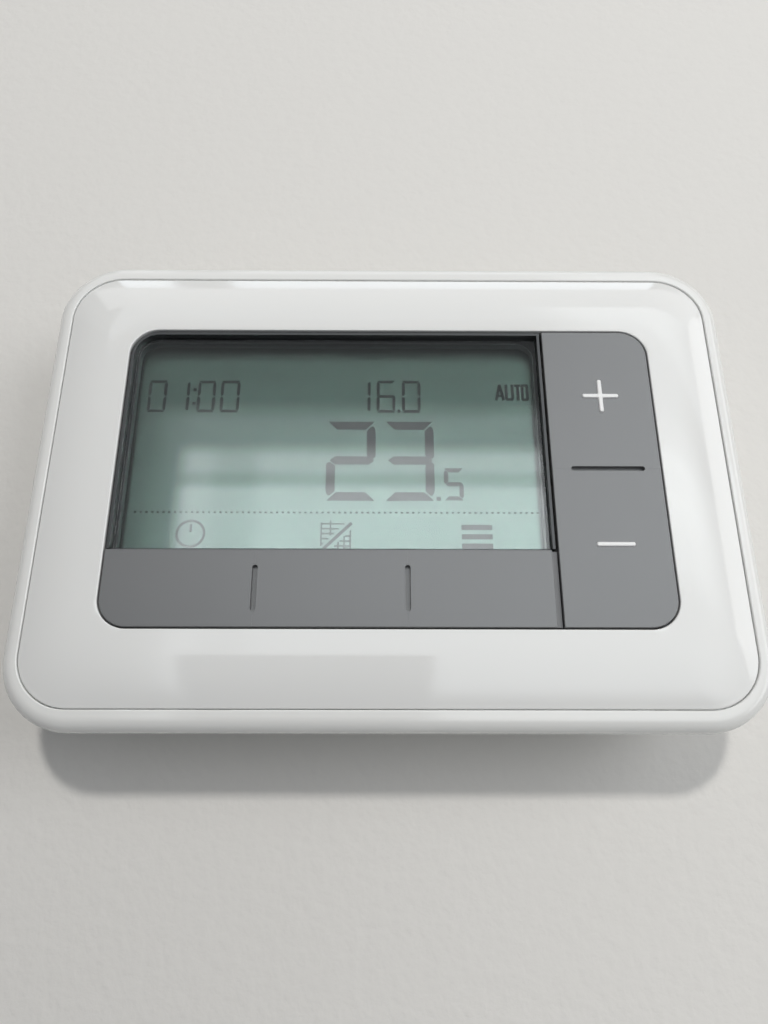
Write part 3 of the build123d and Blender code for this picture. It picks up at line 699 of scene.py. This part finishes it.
bm = bmesh.new()
THIN = 0.60
THIN_GAP = 0.10
THIN_DOT = 0.65
TIME_ROW = (14.55, 21.8)
SET_ROW = (14.6, 21.95)
ROOM_ROW = (-4.5, 12.55)
HALF_ROW = (-4.4, 2.4)
BROAD = 1.78
BROAD_GAP = 0.24
for name, x0, x1 in (
    ("0", -48.85, -45.1), ("1", -44.2, -40.45), ("0", -38.85, -35.2), ("0", -34.15, -30.25),
):
    figure(bm, name, x0, x1, *TIME_ROW, THIN, THIN_GAP)
for z in (16.6, 19.7):
    stroke(bm, (-39.75, z), (-39.1, z), THIN_DOT)
for name, x0, x1 in (("1", -7.3, -3.65), ("6", -2.4, 1.4), ("0", 2.75, 6.5)):
    figure(bm, name, x0, x1, *SET_ROW, THIN, THIN_GAP)
stroke(bm, (1.8, 14.95), (2.4, 14.95), THIN_DOT)
for name, x0, x1 in (("2", -12.3, -2.55), ("3", -0.75, 9.0)):
    figure(bm, name, x0, x1, *ROOM_ROW, BROAD, BROAD_GAP)
figure(bm, "5", 10.8, 14.65, *HALF_ROW, 0.88, 0.09)
stroke(bm, (9.3, -4.05), (10.1, -4.05), 0.8)

# The dotted rule over the symbols.
RULE_LEFT, RULE_Z, RULE_DASHES, RULE_STEP, RULE_DASH, RULE_LINE = -48.9, -6.95, 72, 1.09, 0.45, 0.32
for i in range(RULE_DASHES):
    x = RULE_LEFT + i * RULE_STEP
    stroke(bm, (x, RULE_Z), (x + RULE_DASH, RULE_Z), RULE_LINE)

# The word AUTO, small and upright.
LETTER_TOP, LETTER_FOOT, LETTER_STROKE = 21.1, 17.45, 0.58
for x in (21.95, 23.45):
    stroke(bm, (x, LETTER_FOOT), (22.7, LETTER_TOP), LETTER_STROKE)
stroke(bm, (22.1, 18.5), (23.3, 18.5), 0.4)
for x in (24.05, 25.3):
    stroke(bm, (x, LETTER_FOOT + 0.3), (x, LETTER_TOP), LETTER_STROKE)
stroke(bm, (23.95, LETTER_FOOT + 0.25), (25.4, LETTER_FOOT + 0.25), LETTER_STROKE)
stroke(bm, (25.75, LETTER_TOP - 0.2), (27.0, LETTER_TOP - 0.2), LETTER_STROKE)
stroke(bm, (26.4, LETTER_FOOT), (26.4, LETTER_TOP), LETTER_STROKE)
for x in (27.3, 28.3):
    stroke(bm, (x, LETTER_FOOT + 0.2), (x, LETTER_TOP - 0.2), LETTER_STROKE)
for z in (LETTER_FOOT + 0.2, LETTER_TOP - 0.2):
    stroke(bm, (27.2, z), (28.4, z), LETTER_STROKE)

# The standby ring with its short bar, the calendar with a slash, and the three menu bars.
RING_X, RING_Z, RING_RADIUS, RING_LINE, RING_PARTS = -37.7, -11.3, 2.6, 0.45, 36
for i in range(RING_PARTS):
    turns = [math.tau * (i + end) / RING_PARTS for end in (0, 1)]
    inner, outer = RING_RADIUS - RING_LINE / 2, RING_RADIUS + RING_LINE / 2
    corners = [(outer, turns[0]), (outer, turns[1]), (inner, turns[1]), (inner, turns[0])]
    wafer(bm, [(RING_X + r * math.cos(t), RING_Z + r * math.sin(t)) for r, t in corners])
stroke(bm, (RING_X, RING_Z + 0.3), (RING_X, RING_Z + 1.9), RING_LINE)
GRID_LEFT, GRID_TOP, GRID_SIZE, GRID_LINE = -13.0, -9.0, 5.9, 0.3
stroke(bm, (GRID_LEFT, GRID_TOP - GRID_SIZE), (GRID_LEFT + GRID_SIZE, GRID_TOP - 0.1), 0.62)
for i in range(5):
    drop = 0.25 + i * 1.0
    end = GRID_LEFT + GRID_SIZE - 1.1 - drop
    stroke(bm, (GRID_LEFT, GRID_TOP - drop), (end, GRID_TOP - drop), GRID_LINE)
stroke(bm, (GRID_LEFT + 0.15, GRID_TOP), (GRID_LEFT + 0.15, GRID_TOP - GRID_SIZE + 1.2), GRID_LINE)
stroke(bm, (GRID_LEFT + 1.9, GRID_TOP + 0.4), (GRID_LEFT + 1.9, GRID_TOP - 2.6), GRID_LINE)
for i in range(4):
    x = GRID_LEFT + GRID_SIZE - 0.2 - i * 1.15
    stroke(bm, (x, GRID_TOP - GRID_SIZE), (x, GRID_TOP - 1.6 - i * 1.15), GRID_LINE)
for i in range(4):
    z = GRID_TOP - 2.7 - i * 1.0
    stroke(bm, (GRID_LEFT + GRID_SIZE - 1.2 - i * 1.0, z), (GRID_LEFT + GRID_SIZE, z), GRID_LINE)
for z in (-9.93, -11.8, -13.67):
    stroke(bm, (13.9, z), (19.8, z), 1.03)
shade_by_angle(bm)
place_piece(bm, "display_marks", lcd_ink, "head")

# ---- Key frame ----
# The grey carrier under the keys. Only its low rib shows, at the foot of the groove beside the strip.
frame_grey = plastic(
    "frame_grey", dark=(0.15, 0.15, 0.155, 1), light=(0.165, 0.165, 0.17, 1),
    roughness=(0.4, 0.52), grain=3400, height=0.012 * MM,
)
moulded("key_frame", frame_grey, "head", edge=0.1 * MM)

# ---- Front housing ----
# The white rim and the shelf behind the cover. Gloss plastic, rolled over at front and back.
# Drawn as a chain of rounded outlines, each drawn out into the next.
ROUND_STEPS = 14


def shell_of_rings(bm, rings):
    """A closed skin through rounded outlines: width, height, corner radius and depth from the wall."""
    width, height, radius, depth = rings[0]
    lay = Matrix.Translation((0, -depth, 0)) @ Matrix.Rotation(math.radians(90), 4, "X")
    plane = bmesh.ops.create_grid(
        bm, x_segments=1, y_segments=1, size=0.5, matrix=lay @ Matrix.Diagonal((width, height, 1, 1)),
    )
    bmesh.ops.bevel(
        bm, geom=plane["verts"], offset=radius, offset_type="OFFSET", segments=ROUND_STEPS, profile=0.5,
        affect="VERTICES", clamp_overlap=False, material=-1,
    )
    bmesh.ops.delete(bm, geom=bm.faces[:], context="FACES_ONLY")
    edges = bm.edges[:]
    for old, new in zip(rings, rings[1:] + rings[:1]):
        grown = bmesh.ops.extrude_edge_only(bm, edges=edges)["geom"]
        edges = [part for part in grown if isinstance(part, bmesh.types.BMEdge)]
        for vert in (part for part in grown if isinstance(part, bmesh.types.BMVert)):
            move_to_ring(vert, old, new)
    bmesh.ops.remove_doubles(bm, verts=bm.verts, dist=1e-7)
    bmesh.ops.recalc_face_normals(bm, faces=bm.faces)


def move_to_ring(vert, old, new):
    """Carries a point of one rounded outline to the same point of another."""
    arm_x = (vert.co.x - math.copysign(old[0] / 2 - old[2], vert.co.x)) / old[2]
    arm_z = (vert.co.z - math.copysign(old[1] / 2 - old[2], vert.co.z)) / old[2]
    vert.co.x = math.copysign(new[0] / 2 - new[2], vert.co.x) + arm_x * new[2]
    vert.co.z = math.copysign(new[1] / 2 - new[2], vert.co.z) + arm_z * new[2]
    vert.co.y = -new[3]


housing_low, housing_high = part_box("front_housing")
cover_low, cover_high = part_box("front_cover")
RIM_SIZE = (housing_high.x - housing_low.x, housing_high.z - housing_low.z)
SEAM_SIZE = (cover_high.x - cover_low.x, cover_high.z - cover_low.z)
SEAM_GAP = 0.15 * MM
SEAM_RADIUS = 9.5 * MM
RIM_RADIUS = 13.0 * MM
RIM_BACK = -housing_high.y
RIM_FRONT = -housing_low.y
SHELF_FRONT = -cover_high.y
SHELF_BACK = SHELF_FRONT - 1.0 * MM
FRONT_ROLL = 2.6 * MM
BACK_ROLL = 1.9 * MM
FRONT_STEPS = 10
BACK_STEPS = 8
WINDOW = (106.4 * MM, 63.8 * MM, 6.8 * MM)
HOLLOW = (132.0 * MM, 91.0 * MM, 10.5 * MM)


def rim_outline(inset, depth):
    """The rim's outline drawn in from its widest by an inset."""
    return (RIM_SIZE[0] - 2 * inset, RIM_SIZE[1] - 2 * inset, RIM_RADIUS - inset, depth)


def seat_outline(outset, depth):
    """The outline of the seat that the cover drops into."""
    grown = SEAM_GAP + outset
    return (SEAM_SIZE[0] + 2 * grown, SEAM_SIZE[1] + 2 * grown, SEAM_RADIUS + grown, depth)


rings = [(*WINDOW, SHELF_BACK), (*WINDOW, SHELF_FRONT), seat_outline(0, SHELF_FRONT)]
rings += [seat_outline(0, RIM_FRONT - 0.25 * MM), seat_outline(0.06 * MM, RIM_FRONT - 0.09 * MM)]
rings += [seat_outline(0.2 * MM, RIM_FRONT)]
for i in range(FRONT_STEPS + 1):
    turn = math.radians(90) * i / FRONT_STEPS
    drop = FRONT_ROLL * (1 - math.cos(turn))
    rings.append(rim_outline(FRONT_ROLL * (1 - math.sin(turn)), RIM_FRONT - drop))
for i in range(BACK_STEPS + 1):
    turn = math.radians(90) * i / BACK_STEPS
    rise = BACK_ROLL * (1 - math.sin(turn))
    rings.append(rim_outline(BACK_ROLL * (1 - math.cos(turn)), RIM_BACK + rise))
rings += [(*HOLLOW, RIM_BACK), (*HOLLOW, SHELF_BACK)]


def gloss(name, dark, light, roughness, height):
    """Glossy white plastic from a polished mould, with the faintest of ripples."""
    material, shader = new_material(name)
    drift = surface_noise(material, 28, 2)
    ripple = surface_noise(material, 120, 2)
    wire(material, tinted(material, drift, dark, light), shader.inputs["Base Color"])
    polish = surface_noise(material, 900, 3)
    wire(material, spread(material, polish, *roughness), shader.inputs["Roughness"])
    wire(material, bumped(material, ripple, height), shader.inputs["Normal"])
    shader.inputs["Subsurface Weight"].default_value = 0.04
    shader.inputs["Subsurface Radius"].default_value = (1.0 * MM, 0.9 * MM, 0.8 * MM)
    return material


rim_gloss = gloss(
    "rim_gloss", dark=(0.82, 0.823, 0.808, 1), light=(0.84, 0.843, 0.828, 1),
    roughness=(0.12, 0.17), height=0.006 * MM,
)
bm = bmesh.new()
shell_of_rings(bm, rings)
shade_by_angle(bm)
place_piece(bm, "front_housing_piece", rim_gloss, "head", ("front_housing",))

# ---- Front cover ----
# The glossy cover: flat round the opening, then pillowed down to a fine seam at the rim.
# One polished white moulding with a crisp, barely rounded edge at the opening.
OPENING_SIZE = (103.95 * MM, 61.3 * MM)
OPENING_RADIUS = 5.6 * MM
COVER_FRONT = -cover_low.y
COVER_BACK = -cover_high.y
COVER_EDGE = 25.0 * MM
FLAT_SHARE = 0.16
PILLOW_POWER = 2.2
OPENING_ROUND = 0.22 * MM
SEAM_ROUND = 0.3 * MM
EDGE_STEPS = 4
PILLOW_STEPS = 24


def cover_outline(share, depth):
    """The cover's outline between the opening, at 0, and the seam, at 1."""
    width = OPENING_SIZE[0] + share * (SEAM_SIZE[0] - OPENING_SIZE[0])
    height = OPENING_SIZE[1] + share * (SEAM_SIZE[1] - OPENING_SIZE[1])
    return (width, height, OPENING_RADIUS + share * (SEAM_RADIUS - OPENING_RADIUS), depth)


def pillow_depth(share):
    """How far the cover's face stands from the wall."""
    rolled = max(0.0, (share - FLAT_SHARE) / (1 - FLAT_SHARE))
    return COVER_FRONT - (COVER_FRONT - COVER_EDGE) * rolled**PILLOW_POWER


band = (SEAM_SIZE[0] - OPENING_SIZE[0]) / 2
rings = [cover_outline(0, COVER_BACK), cover_outline(0, COVER_FRONT - OPENING_ROUND)]
for i in range(1, EDGE_STEPS):
    turn = math.radians(90) * i / EDGE_STEPS
    share_out = OPENING_ROUND * (1 - math.cos(turn)) / band
    rings.append(cover_outline(share_out, COVER_FRONT - OPENING_ROUND * (1 - math.sin(turn))))
last_share = 1 - SEAM_ROUND / band
for i in range(PILLOW_STEPS + 1):
    share_out = OPENING_ROUND / band + (last_share - OPENING_ROUND / band) * i / PILLOW_STEPS
    rings.append(cover_outline(share_out, pillow_depth(share_out)))
edge_depth = pillow_depth(last_share)
for i in range(1, EDGE_STEPS + 1):
    turn = math.radians(90) * i / EDGE_STEPS
    share_out = 1 - SEAM_ROUND * (1 - math.sin(turn)) / band
    rings.append(cover_outline(share_out, edge_depth - SEAM_ROUND * (1 - math.cos(turn))))
rings.append(cover_outline(1, COVER_BACK))
cover_gloss = gloss(
    "cover_gloss", dark=(0.83, 0.835, 0.825, 1), light=(0.85, 0.855, 0.845, 1),
    roughness=(0.07, 0.11), height=0.004 * MM,
)
bm = bmesh.new()
shell_of_rings(bm, rings)
shade_by_angle(bm)
place_piece(bm, "front_cover_piece", cover_gloss, "head", ("front_cover",))

# ---- Display bezel and window ----
# A black stepped frame drops from the keys' level to the liquid crystal, and holds a clear window.
# Semi-gloss black plastic, and polished acrylic.
bezel_black = plastic(
    "bezel_black", dark=(0.023, 0.025, 0.027, 1), light=(0.029, 0.031, 0.033, 1),
    roughness=(0.32, 0.42), grain=2800, height=0.006 * MM,
)
moulded("display_bezel", bezel_black, "head", edge=0.07 * MM, segments=3)
window_acrylic, acrylic_face = new_material("window_acrylic")
acrylic_face.inputs["Base Color"].default_value = (0.985, 0.995, 0.99, 1)
acrylic_face.inputs["Roughness"].default_value = 0.0
acrylic_face.inputs["IOR"].default_value = 1.49
acrylic_face.inputs["Transmission Weight"].default_value = 1.0
lamplight = node(window_acrylic, "ShaderNodeBsdfTransparent", Color=(0.985, 0.995, 0.99, 1))
rays = node(window_acrylic, "ShaderNodeLightPath")
unbent = node(window_acrylic, "ShaderNodeMath", operation="MAXIMUM")
acrylic_mix = node(window_acrylic, "ShaderNodeMixShader")
acrylic_out = window_acrylic.node_tree.nodes["Material Output"]
wire(window_acrylic, rays.outputs["Is Shadow Ray"], unbent.inputs[0])
wire(window_acrylic, rays.outputs["Is Diffuse Ray"], unbent.inputs[1])
wire(window_acrylic, unbent.outputs[0], acrylic_mix.inputs[0])
wire(window_acrylic, acrylic_face.outputs[0], acrylic_mix.inputs[1])
wire(window_acrylic, lamplight.outputs[0], acrylic_mix.inputs[2])
wire(window_acrylic, acrylic_mix.outputs[0], acrylic_out.inputs["Surface"])
moulded("display_lens", window_acrylic, "head", edge=0.08 * MM)

# ---- Keys ----
# The soft-key bar and the plus and minus strip: satin grey plastic with shallow round-ended grooves.
# The real bar and strip are one moulding each, so the keys all but touch at their grooves.
HAIRLINE = 0.045 * MM
JOIN_GAP = 0.006 * MM
KEY_EDGE = 0.06 * MM
key_satin = plastic(
    "key_satin", dark=(0.124, 0.125, 0.128, 1), light=(0.138, 0.139, 0.142, 1),
    roughness=(0.34, 0.42), grain=5200, height=0.008 * MM, specular=0.75,
)


def key_piece(name, joins):
    """One key with the CAD key's shape, its split faces brought up to the groove's centre line."""
    bm = solid_of(f"key_{name}")
    for axis, line in joins:
        for vert in bm.verts:
            if abs(vert.co[axis] - line) < HAIRLINE:
                vert.co[axis] = line + math.copysign(JOIN_GAP, vert.co[axis] - line)
    kept = [
        e for e in sharp_edges(bm)
        if not any(all(abs(v.co[axis] - line) < 2 * JOIN_GAP for v in e.verts) for axis, line in joins)
    ]
    soften(bm, kept, KEY_EDGE, 2)
    shade_by_angle(bm)
    place_piece(bm, f"key_{name}_piece", key_satin, f"key_{name}", (f"key_{name}",))


left_split = (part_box("key_left")[1].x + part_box("key_middle")[0].x) / 2
right_split = (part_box("key_middle")[1].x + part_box("key_right")[0].x) / 2
strip_split = (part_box("key_minus")[1].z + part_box("key_plus")[0].z) / 2
key_piece("left", [(0, left_split)])
key_piece("middle", [(0, left_split), (0, right_split)])
key_piece("right", [(0, right_split)])
key_piece("plus", [(2, strip_split)])
key_piece("minus", [(2, strip_split)])

# ---- Plus and minus signs ----
# Raised white bars set into the strip's keys, a little proud of the surface, and the switches' dark
# plungers behind all five keys.
sign_white = plastic(
    "sign_white", dark=(0.84, 0.84, 0.84, 1), light=(0.87, 0.87, 0.87, 1),
    roughness=(0.28, 0.36), grain=3000, height=0.004 * MM,
)
moulded("plus_sign", sign_white, "key_plus", edge=0.26 * MM, segments=4)
moulded("minus_sign", sign_white, "key_minus", edge=0.26 * MM, segments=4)
for name in ("left", "middle", "right", "plus", "minus"):
    moulded(f"switch_plunger_{name}", chip_black, f"key_{name}", edge=0.08 * MM)
